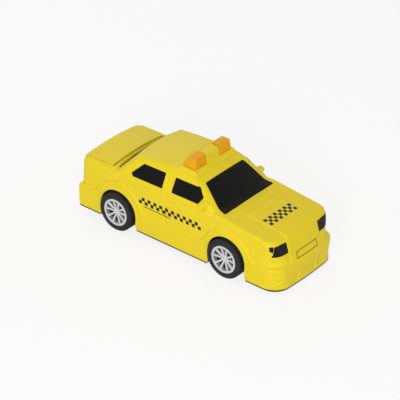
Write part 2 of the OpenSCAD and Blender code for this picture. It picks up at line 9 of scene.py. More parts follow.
import bpy
import numpy as np
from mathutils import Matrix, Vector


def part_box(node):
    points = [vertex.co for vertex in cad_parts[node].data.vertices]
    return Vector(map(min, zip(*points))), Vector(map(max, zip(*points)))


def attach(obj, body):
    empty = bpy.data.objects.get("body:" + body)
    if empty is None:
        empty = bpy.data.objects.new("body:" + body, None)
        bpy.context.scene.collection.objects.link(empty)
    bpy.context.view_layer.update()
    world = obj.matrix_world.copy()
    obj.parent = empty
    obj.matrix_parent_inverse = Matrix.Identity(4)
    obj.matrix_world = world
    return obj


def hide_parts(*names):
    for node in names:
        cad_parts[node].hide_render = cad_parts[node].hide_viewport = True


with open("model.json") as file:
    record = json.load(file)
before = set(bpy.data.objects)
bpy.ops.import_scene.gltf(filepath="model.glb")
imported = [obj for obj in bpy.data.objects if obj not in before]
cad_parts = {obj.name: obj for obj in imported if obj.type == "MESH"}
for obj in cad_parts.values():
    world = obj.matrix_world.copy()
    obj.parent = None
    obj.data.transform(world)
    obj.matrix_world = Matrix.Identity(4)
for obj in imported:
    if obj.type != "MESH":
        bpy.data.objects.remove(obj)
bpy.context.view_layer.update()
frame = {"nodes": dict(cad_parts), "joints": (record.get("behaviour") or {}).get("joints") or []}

import openvdb
from mathutils import Vector

MM = 0.001

# places taken from the frame, in mm
ANCHORS = {joint["name"]: [v / MM for v in joint["pos_m"]] for joint in frame["joints"]}
FRONT_AXLE_X, _, AXLE_Z = ANCHORS["front_axle_spin"]
REAR_AXLE_X = ANCHORS["rear_axle_spin"][0]
HINGE_X, _, HINGE_Z = ANCHORS["boot_lid_hinge"]
LENS_LOW, LENS_HIGH = [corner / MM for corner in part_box("light_lens_left")]
TYRE_LOW, TYRE_HIGH = [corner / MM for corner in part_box("tyre_front_left")]
SHELL_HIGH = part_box("body_shell")[1] / MM

# lower body
HALF_L = SHELL_HIGH.x
SKIRT_W = 42.5
PANEL_W = 41.2
BUMPER_STEP = 1.75
NOSE_BOW = 400.0
NOSE_LEAN = 0.28
TAIL_LEAN = 0.07
NOSE_CORNER_R = 16.0
TAIL_CORNER_R = 8.0
BUMPER_CORNER_R = 3.5
LEDGE_Z = 25.4
FRONT_LEDGE_Z = 26.0
REAR_LEDGE_Z = 30.0
BELT_Z = 58.0
COWL_X = 48.0
BONNET_FALL = 0.121
RIDGE = 0.6
RIDGE_Y = (22.2, 21.0)
DECK_Z = 59.4
DECK_CROWN = 2.4
DECK_HALF_W = 35.0
BULK_X = -75.5
SHOULDER_R = 4.6
BONNET_EDGE_R = 2.8
EDGE_Z = 6.35
EDGE_FALL = math.tan(math.radians(1.1))
WALL = 1.8
ARCH_R = 20.8
FLARE_REAR_R = 29.5
FLARE_FRONT_R = 27.2

# cabin
ROOF_Z = 81.4
ROOF_PEAK_X = -12.0
ROOF_ARCH_ALONG = 640.0
ROOF_ARCH_ACROSS = 600.0
CABIN_FOOT_Z = 45.0
SCREEN_AT = (50.5, 56.0)
SCREEN_TILT = math.radians(52.96)
BACK_AT = (BULK_X, 59.6)
BACK_TILT = math.radians(133.5)
SIDE_AT = (40.8, 57.0)
SIDE_TILT = math.radians(22.7)
SCREEN_BOW = 380.0

# light bar
BAR_Z = 82.3
BAR_X = 2.0
LENS_Y = (LENS_LOW.y + LENS_HIGH.y) / 2
PEG_R = 1.5

# boot lid
LID_FRONT_X = -79.0
LID_HALF_W = 34.7
LID_LIP_Z = 46.0
LID_GAP = 0.4
LID_RISE = 0.45

HINGE_PIN_R = 1.25

# tones as linear colours
YELLOW = (0.80, 0.625, 0.022)
BLACK = (0.0065, 0.0065, 0.006)
ORANGE = (0.80, 0.37, 0.004)
RUBBER = (0.014, 0.014, 0.016)
SILVER = (0.62, 0.62, 0.63)
STEEL = (0.50, 0.49, 0.47)
CHARCOAL = (0.022, 0.022, 0.024)
NYLON = (0.72, 0.70, 0.62)
SLATE = (0.085, 0.10, 0.12)
SHADOW_GREY = (0.035, 0.035, 0.038)


# distance field tools

def rmax(a, b, r):
    """Both fields at once, with the edge between them rounded by r."""
    return np.minimum(np.maximum(a, b), -r) + np.hypot(np.maximum(a + r, 0), np.maximum(b + r, 0))


def rmin(a, b, r):
    """Either field, with a fillet of r where they meet."""
    return -rmax(-a, -b, r)


def cut(a, b, r):
    """Field a without field b."""
    return rmax(a, -b, r)


def smooth(lo, hi, v):
    t = np.clip((v - lo) / (hi - lo), 0, 1)
    return t * t * (3 - 2 * t)


def box_field(x, y, z, low, high, r):
    """A box from corner low to corner high with edges rounded by r."""
    fx = np.maximum(low[0] - x, x - high[0])
    fy = np.maximum(low[1] - y, y - high[1])
    fz = np.maximum(low[2] - z, z - high[2])
    return rmax(rmax(fx, fy, r), fz, r)


def convex(u, v, corners, r):
    """Convex outline whose corners, listed anticlockwise, are rounded by r."""
    field = None
    for (u0, v0), (u1, v1) in zip(corners, corners[1:] + corners[:1]):
        span = math.hypot(u1 - u0, v1 - v0)
        side = ((u - u0) * (v1 - v0) - (v - v0) * (u1 - u0)) / span
        field = side if field is None else rmax(field, side, r)
    return field


def line_distance(u, v, points):
    """Distance to a run of straight lines."""
    best = None
    for (u0, v0), (u1, v1) in zip(points, points[1:]):
        span = (u1 - u0) ** 2 + (v1 - v0) ** 2
        t = np.clip(((u - u0) * (u1 - u0) + (v - v0) * (v1 - v0)) / span, 0, 1)
        d = np.hypot(u - u0 - t * (u1 - u0), v - v0 - t * (v1 - v0))
        best = d if best is None else np.minimum(best, d)
    return best


def groove(distance, depth=0.6, width=0.75):
    return depth * np.exp(-((distance / width) ** 2))


# body forms

def plan_field(x, y, front, rear, w, bow, front_r, rear_r):
    """Plan outline: bowed nose, straight sides and tail, rounded corners."""
    nose = np.hypot(np.maximum(x - front + bow, 0), y) - bow
    return rmax(rmax(y - w, nose, front_r), rear - x, rear_r)


def bonnet_ridge(y):
    """Rise of the bonnet's middle panel and of the nose below it."""
    return RIDGE * smooth(*RIDGE_Y, y)


def deck_top(y):
    return DECK_Z + DECK_CROWN * (1 - (y / DECK_HALF_W) ** 2)


def wheel_rings(x, z):
    """Distances from the rear and the front axle."""
    return np.hypot(x - REAR_AXLE_X, z - AXLE_Z), np.hypot(x - FRONT_AXLE_X, z - AXLE_Z)


def body_top(x, y):
    arch = 1 - (y / 38) ** 2
    raised = bonnet_ridge(y) * smooth(62.6, 63.4, x)
    bonnet = BELT_Z - 0.5 - BONNET_FALL * (x - COWL_X) + 0.9 * arch + raised
    middle = BELT_Z + 0.6 * arch
    front = smooth(COWL_X - 4, COWL_X + 2, x)
    back = smooth(BULK_X + 6, BULK_X - 1, x)
    return front * bonnet + back * deck_top(y) + (1 - front - back) * middle


def lower_field(x, y, z):
    step = HALF_L - BUMPER_STEP
    nose = step - NOSE_LEAN * np.maximum(z - FRONT_LEDGE_Z, 0) + bonnet_ridge(y)
    tail = -step + TAIL_LEAN * np.maximum(z - REAR_LEDGE_Z, 0)
    corner_r = NOSE_CORNER_R - 8 * smooth(28, 46, z)
    plan = plan_field(x, y, nose, tail, PANEL_W, NOSE_BOW, corner_r, TAIL_CORNER_R)
    edge_r = SHOULDER_R + (BONNET_EDGE_R - SHOULDER_R) * smooth(36, 52, x)
    return rmax(plan, z - body_top(x, y), edge_r)


def screen_field(x, y, z, at, tilt):
    lean = (x - at[0]) * math.cos(tilt) + (z - at[1]) * math.sin(tilt)
    return lean + y * y / SCREEN_BOW


def cabin_field(x, y, z):
    roof = z - (ROOF_Z - (x - ROOF_PEAK_X) ** 2 / ROOF_ARCH_ALONG - y * y / ROOF_ARCH_ACROSS)
    front = screen_field(x, y, z, SCREEN_AT, SCREEN_TILT)
    back = screen_field(x, y, z, BACK_AT, BACK_TILT)
    side = (y - SIDE_AT[0]) * math.cos(SIDE_TILT) + (z - SIDE_AT[1]) * math.sin(SIDE_TILT)
    cabin = rmax(rmax(roof, front, 6), back, 1.6)
    cabin = rmax(cabin, side, 3.6)
    cabin = rmax(cabin, y - PANEL_W + 0.6, 3)
    return np.maximum(rmax(cabin, BULK_X - x, 0.6), CABIN_FOOT_Z - z)


def skirt_field(x, y, z):
    rear_ring, front_ring = wheel_rings(x, z)
    rear = smooth(-90, -98, x)
    front = smooth(84, 98, x)
    ledge = LEDGE_Z + (REAR_LEDGE_Z - LEDGE_Z) * rear + (FRONT_LEDGE_Z - LEDGE_Z) * front
    profile = rmin(z - ledge, rear_ring - FLARE_REAR_R, 6)
    profile = rmin(profile, front_ring - FLARE_FRONT_R, 6)
    ring = np.minimum(rear_ring, front_ring)
    lip = 0.55 * np.exp(-(((ring - ARCH_R - 1.1) / 1.1) ** 2))
    corner_r = NOSE_CORNER_R - 4 * smooth(6, 25, z)
    plan = plan_field(x, y, HALF_L, -HALF_L, SKIRT_W, NOSE_BOW, corner_r, BUMPER_CORNER_R)
    return rmax(plan - lip, profile, 1 + 1.2 * smooth(92, 104, np.abs(x)))


def form_field(x, y, z):
    """The car's outer surface before its fine details."""
    y = np.abs(y)
    fillet = 0.05 + 2.2 * smooth(39.5, 35, y) * smooth(-70, -58, x)
    body = rmin(lower_field(x, y, z), cabin_field(x, y, z), fillet)
    return rmin(body, skirt_field(x, y, z), 0.9)


# fine details of the body surface

DOOR_SEAMS = [
    [(-11.7, 58.5), (-13.4, 24.8)],
    [(40.2, 57.6), (42.4, 55), (43, 42), (41.6, 37), (38.4, 34.4), (34, 33.6)],
    [(-56.5, 60.6), (-61.4, 58.2), (-62.4, 56), (-62.4, 50.6), (-58.5, 46.8)],
]
PILLAR_LINES = [[(-9.4, 60.5), (-8.6, 73)], [(-13.6, 60.5), (-14, 73)]]
HANDLES_X = [(-56.2, -46.2), (-8.4, 1.6)]
HANDLE_Z = 53.3
FLAP_AT = (-71.9, 53.3)
FLAP_R = 4.7
FOG_AT = (111.0, 36.1, 16.5)
FOG_R = 4.7


def side_details(x, y, z):
    lines = sum(groove(line_distance(x, z, seam)) for seam in DOOR_SEAMS)
    lines = lines + groove(np.hypot(x - FLAP_AT[0], z - FLAP_AT[1]) - FLAP_R)
    for x0, x1 in HANDLES_X:
        bar = line_distance(x, z, [(x0 + 1, HANDLE_Z), (x1 - 1, HANDLE_Z - 0.4)])
        lines = lines + groove(bar - 2.2, 0.3, 0.6) - 0.95 * smooth(1.4, 0.7, bar)
    pillar = sum(groove(line_distance(x, z, line), 0.5) for line in PILLAR_LINES)
    return (lines + pillar) * smooth(28, 32, y)


def top_details(x, y, z):
    seam = groove(x - 63 + y * y / 700) * smooth(34.5, 33.5, y)
    slats = x + y * y / 300
    ribs = 0.45 * (0.5 - 0.5 * np.cos(slats * 2 * math.pi / 1.7))
    ribs = ribs * smooth(51.2, 52, slats) * smooth(58.2, 57.4, slats) * smooth(24, 23, y)
    return (seam + ribs) * smooth(50, 52, z)


def nose_details(x, y, z):
    mouth = convex(y, z, [(-23, 7), (23.5, 7), (19.5, 15.8), (-23, 15.8)], 1.2)
    bars = np.abs(y - 11.6) - 0.6
    mouth = np.maximum(mouth, -bars)
    fog = np.sqrt((x - FOG_AT[0]) ** 2 + (y - FOG_AT[1]) ** 2 + (z - FOG_AT[2]) ** 2)
    dish = 0.75 * smooth(FOG_R + 0.4, FOG_R - 0.5, fog)
    dome = 0.95 * np.clip(1 - (fog / 3.4) ** 2, 0, 1)
    nose = smooth(92, 96, x)
    return (0.9 * smooth(0.3, -0.5, mouth) + dish - dome) * nose


def details(x, y, z):
    return side_details(x, y, z) + top_details(x, y, z) + nose_details(x, y, z)


# outlines of windows, lamps, mirror and plate

FRONT_PANE = [(-7, 59.6), (23.2, 59.4), (27.6, 66.3), (21, 73.2), (-5.9, 73.2)]
REAR_PANE = [(-52, 59.7), (-18, 59.7), (-17.2, 73.6), (-42.6, 73.6), (-54, 62.4)]
SCREEN_PANE = [(-34.8, 0.9), (34.8, 0.9), (26.4, 34.4), (-26.4, 34.4)]
BACK_PANE = [(-33, 0.4), (33, 0.4), (27, 24), (-27, 24)]
HEADLAMP = [(22.3, 45.8), (22.3, 36.2), (38.3, 36.4), (36.6, 46.6)]
HEADLAMP_STRIP = [(37.1, 46.8), (38.05, 41.0), (39.9, 43.0), (39.4, 46.9)]
MIRROR = [(27.6, 59.4), (34.6, 59.4), (35.2, 63.4), (29, 65.4)]
TAIL_LAMP = [(22.7, 33.6), (33.2, 33.6), (33.2, 43.6), (22.7, 43.6)]
PLATE = [(-15.2, 27), (15.2, 27), (15.2, 34.4), (-15.2, 34.4)]


def screen_outline(x, y, z, at, tilt, corners, slope):
    """Windscreen or rear screen outline, seen square to the glass."""
    run = (x - at[0]) * -math.sin(tilt) * slope + (z - at[1]) * math.cos(tilt) * slope
    pane = convex(y, run, corners, 1.6)
    depth = np.abs((x - at[0]) * math.cos(tilt) + (z - at[1]) * math.sin(tilt) + 1) - 9
    return np.maximum(pane, depth)


def windows_field(x, y, z):
    panes = np.minimum(convex(x, z, FRONT_PANE, 0.6), convex(x, z, REAR_PANE, 0.6))
    panes = np.maximum(panes, 24 - np.abs(y))
    screen = screen_outline(x, y, z, SCREEN_AT, SCREEN_TILT, SCREEN_PANE, 1)
    back = screen_outline(x, y, z, BACK_AT, BACK_TILT, BACK_PANE, -1)
    return np.minimum(np.minimum(panes, screen), back)


def headlamp_outline(x, y, z):
    across = np.abs(y)
    outline = np.minimum(convex(across, z, HEADLAMP, 0.8), convex(across, z, HEADLAMP_STRIP, 0.4))
    return np.maximum(outline, 88 - x)


def tail_outline(x, y, z):
    outline = convex(np.abs(y), z, TAIL_LAMP, 0.8)
    return np.maximum(outline, x + 104)


def lid_outline(x, y, z, grow):
    side = rmax(np.abs(y) - LID_HALF_W - grow, LID_LIP_Z - grow - z, 1.2)
    return np.maximum(side, x - LID_FRONT_X - grow)


# separate pieces as fields

BODY_POSTS = [(92.25, 26), (-109.65, 36.1)]


def edge_height(x):
    return EDGE_Z - x * EDGE_FALL


def bar_block(x, y, z, y0, y1, low, high, slope, r):
    """Roof light block with a raked back, a steep front and ends leaning in by slope."""
    tall = high - low
    half = (LENS_HIGH.x - LENS_LOW.x) / 2
    rear = BAR_X - half
    front = BAR_X + half
    profile = [(rear, low), (front, low), (front - 1.2, high), (rear + 5.2, high)]
    ends = np.maximum(y0 + slope * (z - low) / tall - y, y - y1 + slope * (z - low) / tall)
    return rmax(convex(x, z, profile, r), ends, r)


def mirror_field(x, y, z):
    """Left door mirror: a wedge that narrows to a blunt outer end."""
    reach = (y - 38) / 8
    face = convex(x + 2.2 * reach, z + 1.6 * reach, MIRROR, 1.2)
    return rmax(rmax(face + 1.3 * reach, y - 46, 1.4), 37 - y, 0.3)


def body_shell_field(x, y, z):
    y = np.abs(y)
    form = form_field(x, y, z)
    inner = form + WALL + smooth(84, 98, x)
    plinth = box_field(x, y, z, (BAR_X - 9.6, -28, 70), (BAR_X + 9.6, 28, BAR_Z), 1.2)
    outer = rmin(form + details(x, y, z), plinth, 2)
    bridge = bar_block(x, y, z, -8.9, 8.9, BAR_Z - 0.5, LENS_HIGH.z - 1.1, 0.3, 0.8)
    outer = rmin(outer, bridge, 0.6)
    outer = rmin(outer, mirror_field(x, y, z), 0.8)
    shell = cut(outer, inner, 0.4)
    bulk = BULK_X - 0.2
    bulkhead = box_field(x, y, z, (bulk, -1, LID_LIP_Z), (bulk + WALL, 36.1, BELT_Z + 1.2), 0.3)
    shell = np.minimum(shell, np.maximum(bulkhead, form + 0.3))
    lid_side = LID_HALF_W + LID_GAP
    slot = box_field(x, y, z, (LID_FRONT_X - 1, -1, LID_LIP_Z), (bulk, lid_side, 90), 0.3)
    sweep = np.hypot(LID_FRONT_X - HINGE_X, deck_top(y) + LID_RISE - HINGE_Z) + 0.4
    swept = np.hypot(x - HINGE_X, z - HINGE_Z) - sweep
    slot = np.maximum(slot, np.minimum(swept, x - LID_FRONT_X - 1.7))
    shell = cut(shell, np.minimum(lid_outline(x, y, z, LID_GAP), slot), 0.35)
    for post_x, post_y in BODY_POSTS:
        ring = np.hypot(x - post_x, y - post_y)
        post = np.maximum(np.maximum(ring - 3.8, 1.3 - ring), edge_height(post_x) + 4.8 - z)
        shell = np.minimum(shell, np.maximum(post, form + 0.8))
    lug = box_field(x, y, z, (HINGE_X - 4, lid_side, HINGE_Z - 4), (HINGE_X + 4, 38.3, HINGE_Z + 6), 0.3)
    lug = np.maximum(lug, HINGE_PIN_R + 0.07 - np.hypot(x - HINGE_X, z - HINGE_Z))
    shell = np.minimum(shell, np.maximum(lug, form + 0.6))
    shell = cut(shell, windows_field(x, y, z), 0.4)
    pockets = np.minimum(headlamp_outline(x, y, z), tail_outline(x, y, z))
    shell = cut(shell, np.maximum(pockets, -form - 1.05), 0.2)
    ring = np.minimum(*wheel_rings(x, z))
    across = np.minimum(np.abs(x - REAR_AXLE_X), np.abs(x - FRONT_AXLE_X))
    arch = np.where(z > AXLE_Z, ring, across) - ARCH_R
    shell = cut(shell, np.maximum(arch, 28.9 - y), 0.5)
    peg = np.hypot(x - BAR_X, y - LENS_Y) - PEG_R - 0.1
    shell = cut(shell, np.maximum(peg, 70 - z), 0.2)
    return rmax(shell, edge_height(x) - z, 0.4)


def window_insert_field(x, y, z):
    form = form_field(x, y, z)
    pads = rmax(windows_field(x, y, z) + 0.12, form - 0.35, 0.7)
    pads = np.maximum(pads, -form - WALL - 1.4)
    liner = np.maximum(form + WALL + 0.15, -form - WALL - 1.4)
    insert = np.maximum(np.minimum(pads, liner), BELT_Z - 1.4 - z)
    insert = np.maximum(insert, BULK_X + WALL + 0.4 - x)
    peg = np.hypot(x - BAR_X, np.abs(y) - LENS_Y) - 4
    return cut(insert, np.maximum(peg, 70 - z), 0.2)


def lens_field(x, y, z):
    """Left roof lens: a hollow orange cap with a peg and a small dimple on top."""
    cap = bar_block(x, y, z, LENS_LOW.y, LENS_HIGH.y, BAR_Z, LENS_HIGH.z, 1.4, 0.9)
    dimple = np.hypot(x - BAR_X - 1.6, y - LENS_Y)
    cap = cap + groove(dimple, 0.45, 0.9) * smooth(LENS_HIGH.z - 2, LENS_HIGH.z - 1, z)
    inside = np.maximum(cap + 1.2, BAR_Z - 1 - z)
    cap = cut(np.maximum(cap, BAR_Z - z), inside, 0.3)
    peg = np.hypot(x - BAR_X, y - LENS_Y) - PEG_R
    peg = np.maximum(peg, np.maximum(LENS_LOW.z - z, z - LENS_HIGH.z + 0.6))
    return np.minimum(cap, peg)


def headlamp_field(x, y, z):
    """Left headlamp: a dark lens and its narrow outer strip."""
    form = form_field(x, y, z)
    lamp = rmax(headlamp_outline(x, y, z) + 0.1, form - 0.3, 0.5)
    return np.maximum(lamp, -form - 1)


def tail_lamp_field(x, y, z):
    form = form_field(x, y, z)
    bars = groove(z - 37, 0.4, 0.5) + groove(z - 40.4, 0.4, 0.5)
    lamp = rmax(tail_outline(x, y, z) + 0.1, form - 0.35 + bars, 0.5)
    return np.maximum(lamp, -form - 1)


def plate_field(x, y, z):
    form = form_field(x, y, z)
    plate = rmax(convex(y, z, PLATE, 0.9), form - 0.5, 0.3)
    return np.maximum(np.maximum(plate, -form), 90 - x)


def plate_border_field(x, y, z):
    form = form_field(x, y, z)
    outline = convex(y, z, PLATE, 0.9)
    divider = np.maximum(np.abs(y + 12.4) - 0.2, outline + 0.75)
    line = np.minimum(np.abs(outline + 0.75) - 0.28, divider)
    return np.maximum(np.maximum(line, np.abs(form - 0.48) - 0.14), 90 - x)


def boot_lid_field(x, y, z):
    y = np.abs(y)
    form = lower_field(x, y, z) - LID_RISE
    lid = cut(form, form + WALL, 0.3)
    foot = (LID_FRONT_X - 1.6, -1, HINGE_Z - 0.5)
    flange = box_field(x, y, z, foot, (LID_FRONT_X, LID_HALF_W, 70), 0.4)
    lid = np.minimum(lid, np.maximum(flange, form))
    lid = rmax(lid, lid_outline(x, y, z, 0), 0.55)
    reach = np.hypot(x - HINGE_X, z - HINGE_Z)
    ear = np.minimum(reach - 3, np.maximum(np.abs(x - HINGE_X) - 3, HINGE_Z - z))
    ear = np.maximum(np.maximum(ear, np.abs(y - LID_HALF_W + 3.1) - 1.3), form + 0.5)
    pin = np.maximum(reach - HINGE_PIN_R, np.maximum(LID_HALF_W - 3 - y, y - LID_HALF_W - 3.4))
    nub_top = DECK_Z + DECK_CROWN + 0.3 + (-90 - x) * 0.09
    nub = convex(x, y, [(-97.9, -2.6), (-89.9, 0), (-97.9, 2.6)], 0.4)
    nub = rmax(nub, z - nub_top, 0.4)
    nub = np.maximum(nub, DECK_Z + 1 - z)
    return np.minimum(np.minimum(rmin(lid, nub, 0.4), ear), pin)


# wheels: fields in the wheel's own frame, y outwards from the car, centred on the axle

RIM_R = 13.2
TYRE_R = AXLE_Z
TYRE_OUT = TYRE_HIGH.y
TYRE_IN = TYRE_LOW.y
BOSS_IN = TYRE_IN - 2.2
SPOKE_PAIRS = 5
TREAD_BLOCKS = 46


def turned(x, z, angle):
    c = math.cos(angle)
    s = math.sin(angle)
    return c * x + s * z, c * z - s * x


def spokes_field(u, v):
    """One pair of spokes along +u, each bowed away from the other."""
    w = np.abs(v)
    bow = 0.8 + 0.06 * u + 0.017 * u * u
    half = 0.72 + 0.045 * u
    return np.maximum(np.abs(w - bow) - half, np.maximum(1.5 - u, u - RIM_R + 0.4))


def rim_field(x, y, z):
    r = np.hypot(x, z)
    face = TYRE_OUT - 1.1
    ring = np.maximum(r - RIM_R, RIM_R - 1.25 - r)
    ring = rmax(ring, np.maximum(TYRE_IN + 1 - y, y - TYRE_OUT + 0.45), 0.45)
    lip = np.maximum(np.abs(r - RIM_R + 1) - 1.05, np.abs(y - TYRE_OUT + 1.2) - 0.75)
    wheel = np.minimum(ring, lip - 0.1)
    dish = face - 1.5 * np.clip(1 - r / RIM_R, 0, 1) ** 1.2
    for pair in range(SPOKE_PAIRS):
        u, v = turned(x, z, 2 * math.pi * pair / SPOKE_PAIRS + math.pi / 2)
        spokes = rmax(spokes_field(u, v), np.maximum(y - dish, dish - 2.8 - y), 0.4)
        wheel = np.minimum(wheel, spokes)
    hub = rmax(r - 2.7, np.maximum(30 - y, y - dish - 0.45), 0.5)
    hub = hub + groove(r - 1.6, 0.3, 0.35) * smooth(face - 4, face - 2, y)
    wheel = rmin(wheel, hub, 0.4)
    boss = np.maximum(r - 3, np.maximum(BOSS_IN - y, y - face + 3))
    wheel = np.minimum(wheel, boss)
    disc = np.maximum(r - RIM_R + 0.5, np.abs(y - TYRE_IN - 1.6) - 0.6)
    wheel = np.minimum(wheel, disc)
    return np.maximum(wheel, np.minimum(1.5 - r, TYRE_OUT - 2.5 - y))


def tyre_field(x, y, z):
    r = np.hypot(x, z)
    across = y - (TYRE_OUT + TYRE_IN) / 2
    half = (TYRE_OUT - TYRE_IN) / 2
    wide = half - 0.5 * np.clip((r - 16.2) / 2.8, -1, 1) ** 2
    tyre = rmax(r - TYRE_R, np.abs(across) - wide, 1.7)
    tyre = rmax(tyre, RIM_R - r, 0.4)
    bead = groove(r - 14.6, 0.28, 0.4) + groove(r - 17.1, 0.2, 0.35)
    bead = bead * smooth(half - 2, half - 1, np.abs(across))
    angle = np.arctan2(z, x) * TREAD_BLOCKS / (2 * math.pi)
    ribs = sum(groove(across - offset, 0.75, 0.55) for offset in (-3.3, 0, 3.3))
    slant = angle + across * 0.09 + 0.5 * np.sign(across) * 0.5
    slot = np.abs(slant - np.round(slant)) * 2 * math.pi * TYRE_R / TREAD_BLOCKS
    shoulder = smooth(0.8, 1.6, np.abs(across))
    slots = groove(slot, 0.75, 0.5) * shoulder
    tread = np.maximum(ribs * smooth(half - 1.2, half - 1.8, np.abs(across)), slots)
    return tyre + bead + tread * smooth(TYRE_R - 2.4, TYRE_R - 1.4, r)


# meshing

def settle(points, field, step):
    """Moves points onto the field's zero surface and returns them with their outward normals."""
    eps = step * 0.25
    for _ in range(3):
        value = field(*points.T)
        slope = np.stack([(field(*(points + eps * axis).T) - field(*(points - eps * axis).T)) / (2 * eps)
                          for axis in np.eye(3)], axis=1)
        size = np.maximum((slope ** 2).sum(1), 0.2)
        move = slope * (value / size)[:, None]
        far = np.maximum(np.linalg.norm(move, axis=1) / (0.5 * step), 1)
        points = points - move / far[:, None]
    length = np.maximum(np.linalg.norm(slope, axis=1), 1e-9)
    return points, slope / length[:, None]


def sample(field, low, high, step):
    """Field values on a grid, worked out slice by slice."""
    xs, ys, zs = [np.arange(a, b + step, step) for a, b in zip(low, high)]
    values = np.empty((len(xs), len(ys), len(zs)), np.float32)
    for i in range(0, len(xs), 16):
        values[i:i + 16] = field(xs[i:i + 16, None, None], ys[None, :, None], zs[None, None, :])
    return np.clip(values, -3 * step, 3 * step)


def split(points, quads, normals):
    """Two triangles for each quad, along the diagonal that follows the surface better."""
    best = None
    for order in ((0, 1, 2, 0, 2, 3), (1, 2, 3, 1, 3, 0)):
        pair = quads[:, order].reshape(-1, 2, 3)
        a, b, c = (points[pair[:, :, k]] for k in range(3))
        facing = np.cross(b - a, c - a)
        facing = facing / np.maximum(np.linalg.norm(facing, axis=2, keepdims=True), 1e-9)
        fit = np.abs((facing * normals[pair].sum(2)).sum(2)).min(1)
        if best is None:
            first_fit, best = fit, pair
        else:
            best = np.where((fit > first_fit)[:, None, None], pair, best)
    return best.reshape(-1, 3)


def relax(points, quads):
    """Evens out a grid: each vertex goes halfway to the middle of its neighbours."""
    ends = np.concatenate([quads[:, [k, (k + 1) % 4]] for k in range(4)])
    ends = np.concatenate([ends, ends[:, ::-1]])
    count = np.bincount(ends[:, 0], minlength=len(points))
    total = [np.bincount(ends[:, 0], axis[ends[:, 1]], len(points)) for axis in points.T]
    return 0.5 * points + 0.5 * np.stack(total, axis=1) / np.maximum(count, 1)[:, None]


def mould(name, field, low, high, step):
    """Mesh object of a field inside the box from low to high, in mm."""
    grid = openvdb.FloatGrid(3 * step)
    grid.copyFromArray(sample(field, low, high, step), tolerance=0)
    grid.transform = openvdb.createLinearTransform(voxelSize=step)
    points, quads = grid.convertToQuads(isovalue=0)
    points = points.astype(float) + np.array(low)
    for _ in range(2):
        points = relax(points, quads)
    points, normals = settle(points, field, step)
    return mesh_object(name, points, split(points, quads, normals).tolist(), normals)


def mesh_object(name, points, faces, normals=None):
    mesh = bpy.data.meshes.new(name)
    mesh.from_pydata((np.asarray(points) * MM).tolist(), [], faces)
    mesh.validate()
    mesh.shade_smooth()
    if normals is not None:
        mesh.normals_split_custom_set_from_vertices(normals.tolist())
    piece = bpy.data.objects.new(name, mesh)
    bpy.context.scene.collection.objects.link(piece)
    return piece


# materials

def new_material(name):
    material = bpy.data.materials.new(name)
    material.use_nodes = True
    nodes = material.node_tree.nodes
    return material, nodes, material.node_tree.links, nodes["Principled BSDF"]


def noise_node(nodes, links, scale, detail):
    place = nodes.new("ShaderNodeTexCoord")
    noise = nodes.new("ShaderNodeTexNoise")
    noise.inputs["Scale"].default_value = scale
    noise.inputs["Detail"].default_value = detail
    links.new(place.outputs["Object"], noise.inputs["Vector"])
    return noise


def spread(nodes, links, source, low, high):
    """Maps a noise's middle range to values from low to high."""
    ramp = nodes.new("ShaderNodeMapRange")
    ramp.inputs["From Min"].default_value = 0.3
    ramp.inputs["From Max"].default_value = 0.7
    ramp.inputs["To Min"].default_value = low
    ramp.inputs["To Max"].default_value = high
    links.new(source, ramp.inputs["Value"])
    return ramp.outputs["Result"]


def plastic(name, tone, roughness, vary=0.05, grain=900, bump=0.05, specular=0.4, metallic=0.0):
    """Moulded material: cloudy colour, uneven gloss and a fine surface grain."""
    material, nodes, links, shader = new_material(name)
    clouds = noise_node(nodes, links, 55, 4)
    mix = nodes.new("ShaderNodeMix")
    mix.data_type = "RGBA"
    mix.inputs["A"].default_value = (*[c * (1 - vary) for c in tone], 1)
    mix.inputs["B"].default_value = (*[min(c * (1 + vary), 1) for c in tone], 1)
    links.new(clouds.outputs["Fac"], mix.inputs["Factor"])
    links.new(mix.outputs["Result"], shader.inputs["Base Color"])
    wear = noise_node(nodes, links, 140, 6)
    rough = spread(nodes, links, wear.outputs["Fac"], roughness * 0.9, roughness * 1.12)
    links.new(rough, shader.inputs["Roughness"])
    fine = noise_node(nodes, links, grain, 3)
    relief = nodes.new("ShaderNodeBump")
    relief.inputs["Strength"].default_value = bump
    relief.inputs["Distance"].default_value = 0.0004
    links.new(fine.outputs["Fac"], relief.inputs["Height"])
    links.new(relief.outputs["Normal"], shader.inputs["Normal"])
    shader.inputs["Metallic"].default_value = metallic
    shader.inputs["Specular IOR Level"].default_value = specular
    return material


def lens_material():
    material = plastic("orange_lens", ORANGE, 0.26, vary=0.05, grain=500, bump=0.01, specular=0.1)
    shader = material.node_tree.nodes["Principled BSDF"]
    shader.inputs["Subsurface Weight"].default_value = 0.04
    shader.inputs["Subsurface Radius"].default_value = (0.004, 0.0015, 0.0003)
    return material


